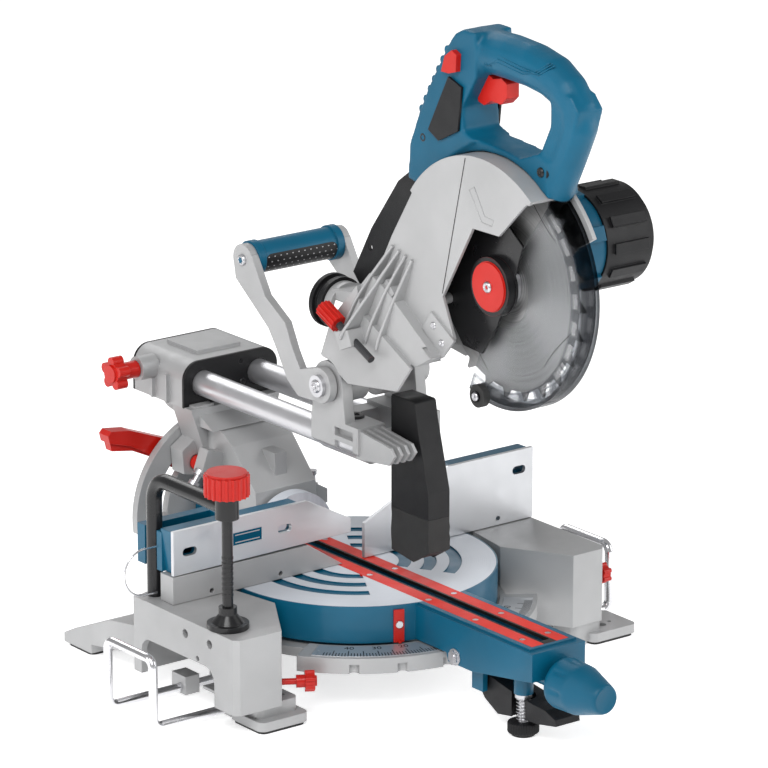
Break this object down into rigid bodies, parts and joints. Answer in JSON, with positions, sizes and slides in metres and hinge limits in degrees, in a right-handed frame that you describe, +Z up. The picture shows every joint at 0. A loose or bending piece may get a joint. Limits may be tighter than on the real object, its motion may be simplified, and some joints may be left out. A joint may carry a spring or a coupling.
{
  "type": "sliding compound mitre saw",
  "caption": "Bench-top sliding compound mitre saw with turntable, sliding fences, tilting head on twin rails, swinging guard, work clamp and pull-out supports.",
  "frame": {"origin": "centre of the four bench holes at bench level", "axes": "+X to the operator's right, +Y away from the operator along the rails, +Z up"},
  "size_m": [0.5494, 0.661, 0.655],
  "materials": {
    "cast_grey": "satin silver-painted casting",
    "blue_paint": "satin blue paint",
    "blue_plastic": "fine grained moulded plastic",
    "black_plastic": "grained moulded plastic",
    "red_plastic": "moulded plastic",
    "rubber": "matt",
    "steel": "zinc plated",
    "chrome": "polished",
    "fence_face": "machined",
    "black_metal": "black satin",
    "grip_skin": "dimpled grip",
    "blade_steel": "ground",
    "clear_guard": "clear moulded polycarbonate",
    "copper": "wound and lacquered"
  },
  "bodies": {
    "base": {"base_casting": "cast_grey", "foot_pads": "rubber", "mitre_scale": "fence_face", "fence_fixed": "cast_grey", "fence_bolts": "steel", "pivot_bolt": "steel"},
    "left_fence": {"left_fence_carrier": "blue_paint", "left_fence_face": "fence_face", "wire_loop": "chrome"},
    "right_fence": {"right_fence_carrier": "blue_paint", "right_fence_face": "fence_face"},
    "left_support": {"left_stretcher": "chrome"},
    "right_support": {"right_stretcher": "chrome"},
    "left_lock_knob": {"left_stretcher_knob": "red_plastic"},
    "right_lock_knob": {"right_stretcher_knob": "red_plastic"},
    "clamp_arm": {"clamp_post": "black_metal"},
    "clamp_foot": {"clamp_pad": "black_metal"},
    "clamp_screw": {"clamp_spindle": "black_metal", "clamp_knob": "red_plastic"},
    "table": {"turntable": "blue_paint", "kerf_inserts": "red_plastic", "insert_screws": "steel", "mitre_pointer": "red_plastic", "arm_bolts": "steel", "bevel_quadrant": "cast_grey", "bevel_pin": "steel"},
    "front_knob": {"arm_knob": "blue_plastic"},
    "detent": {"detent_lever": "black_plastic"},
    "foot": {"foot_screw": "black_plastic"},
    "tilt_tower": {"tower": "cast_grey", "seal_plate": "black_plastic", "linear_bushes": "steel", "bevel_stop": "steel"},
    "tilt_lever": {"bevel_lever": "red_plastic"},
    "rail_lock": {"rail_lock_knob": "red_plastic"},
    "carriage": {"rails": "chrome", "fork": "cast_grey", "fork_screws": "black_metal", "hinge_pin": "steel", "hinge_spring": "steel", "handle_plates": "cast_grey", "grip": "grip_skin", "dust_duct": "black_plastic", "chute_skirt": "rubber"},
    "head": {"head_casting": "cast_grey", "side_plate": "black_metal", "hub_cover": "red_plastic", "handle": "blue_plastic", "handle_trim": "black_plastic", "motor_housing": "blue_plastic", "motor_cap": "black_plastic", "dust_port": "black_plastic"},
    "depth_screw": {"depth_stop": "red_plastic"},
    "trigger": {"trigger": "red_plastic"},
    "lock_off": {"lock_off": "red_plastic"},
    "arbor": {"spindle": "steel", "blade": "blade_steel"},
    "armature": {"armature": "copper"},
    "guard": {"lower_guard": "clear_guard"},
    "roller": {"guard_roller": "rubber"}
  },
  "joints": [
    {"name": "mitre", "type": "hinge", "parent": "base", "child": "table", "pos_m": [-0.023, -0.033, 0.06], "axis": [0, 0, 1], "range_deg": [-47, 47]},
    {"name": "bevel", "type": "hinge", "parent": "table", "child": "tilt_tower", "pos_m": [-0.023, 0.127, 0.095], "axis": [0, 1, 0], "range_deg": [-35, 0]},
    {"name": "slide", "type": "slide", "parent": "tilt_tower", "child": "carriage", "axis": [0, 1, 0], "range_m": [0, 0.19], "deforming": ["chute_skirt"]},
    {"name": "chop", "type": "hinge", "parent": "carriage", "child": "head", "pos_m": [-0.023, -0.053, 0.284], "axis": [1, 0, 0], "range_deg": [0, 53], "stiffness_Nm_per_rad": 9, "springref_deg": -126.05},
    {"name": "guard", "type": "hinge", "parent": "head", "child": "guard", "pos_m": [-0.023, -0.259, 0.4188], "axis": [1, 0, 0], "range_deg": [-117, 0]},
    {"name": "guard_roller_spin", "type": "hinge", "parent": "guard", "child": "roller", "pos_m": [-0.037, -0.236, 0.31], "axis": [1, 0, 0], "continuous": true},
    {"name": "blade_spin", "type": "hinge", "parent": "head", "child": "arbor", "pos_m": [-0.023, -0.259, 0.4188], "axis": [1, 0, 0], "continuous": true},
    {"name": "motor_spin", "type": "hinge", "parent": "head", "child": "armature", "pos_m": [0.077, -0.219, 0.432], "axis": [1, 0, 0], "continuous": true},
    {"name": "trigger_pull", "type": "hinge", "parent": "head", "child": "trigger", "pos_m": [-0.023, -0.224, 0.601], "axis": [1, 0, 0], "range_deg": [-8, 0], "stiffness_Nm_per_rad": 1.5, "springref_deg": 17.19},
    {"name": "lock_off_push", "type": "slide", "parent": "head", "child": "lock_off", "axis": [1, 0, 0], "range_m": [0, 0.004], "stiffness_N_per_m": 600, "springref_m": -0.002},
    {"name": "depth_screw_turn", "type": "hinge", "parent": "head", "child": "depth_screw", "pos_m": [-0.084, -0.127, 0.333], "axis": [0, 0.9092, 0.4163], "range_deg": [-180, 180]},
    {"name": "bevel_lock", "type": "hinge", "parent": "tilt_tower", "child": "tilt_lever", "pos_m": [-0.0645, 0.207, 0.15], "axis": [0, 1, 0], "range_deg": [0, 35]},
    {"name": "rail_lock_turn", "type": "hinge", "parent": "tilt_tower", "child": "rail_lock", "pos_m": [-0.103, 0.223, 0.238], "axis": [1, 0, 0], "range_deg": [0, 180]},
    {"name": "front_knob_turn", "type": "hinge", "parent": "table", "child": "front_knob", "pos_m": [-0.023, -0.363, 0.062], "axis": [0, 1, 0], "range_deg": [-180, 0]},
    {"name": "detent_lift", "type": "hinge", "parent": "table", "child": "detent", "pos_m": [-0.023, -0.243, 0.04], "axis": [1, 0, 0], "range_deg": [-3, 0], "stiffness_Nm_per_rad": 2, "springref_deg": 17.19},
    {"name": "foot_turn", "type": "hinge", "parent": "table", "child": "foot", "pos_m": [-0.031, -0.295, 0.03], "axis": [0, 0, 1], "range_deg": [0, 360]},
    {"name": "left_support_pull", "type": "slide", "parent": "base", "child": "left_support", "axis": [-1, 0, 0], "range_m": [0, 0.043]},
    {"name": "right_support_pull", "type": "slide", "parent": "base", "child": "right_support", "axis": [1, 0, 0], "range_m": [0, 0.045]},
    {"name": "left_knob_turn", "type": "hinge", "parent": "base", "child": "left_lock_knob", "pos_m": [-0.191, -0.139, 0.041], "axis": [0.848, -0.5299, 0], "range_deg": [-180, 0]},
    {"name": "right_knob_turn", "type": "hinge", "parent": "base", "child": "right_lock_knob", "pos_m": [0.181, -0.121, 0.058], "axis": [1, 0, 0], "range_deg": [-180, 0]},
    {"name": "left_fence_slide", "type": "slide", "parent": "base", "child": "left_fence", "axis": [-1, 0, 0], "range_m": [0, 0.06]},
    {"name": "right_fence_slide", "type": "slide", "parent": "base", "child": "right_fence", "axis": [1, 0, 0], "range_m": [0, 0.06]},
    {"name": "clamp_swivel", "type": "hinge", "parent": "base", "child": "clamp_arm", "pos_m": [-0.231, 0.003, 0.1], "axis": [0, 0, 1], "range_deg": [-15, 45]},
    {"name": "clamp_feed", "type": "slide", "parent": "clamp_arm", "child": "clamp_foot", "axis": [0, 0, 1], "range_m": [0, 0.02]},
    {"name": "clamp_screw_turn", "type": "hinge", "parent": "clamp_foot", "child": "clamp_screw", "pos_m": [-0.231, -0.1125, 0.18], "axis": [0, 0, 1], "range_deg": [0, 2410]}
  ],
  "couplings": [
    {"joint": "guard", "follows": "chop", "ratio": -2.2},
    {"joint": "motor_spin", "follows": "blade_spin", "ratio": -2.844},
    {"joint": "clamp_screw_turn", "follows": "clamp_feed", "rad_per_m": 2094.4}
  ]
}
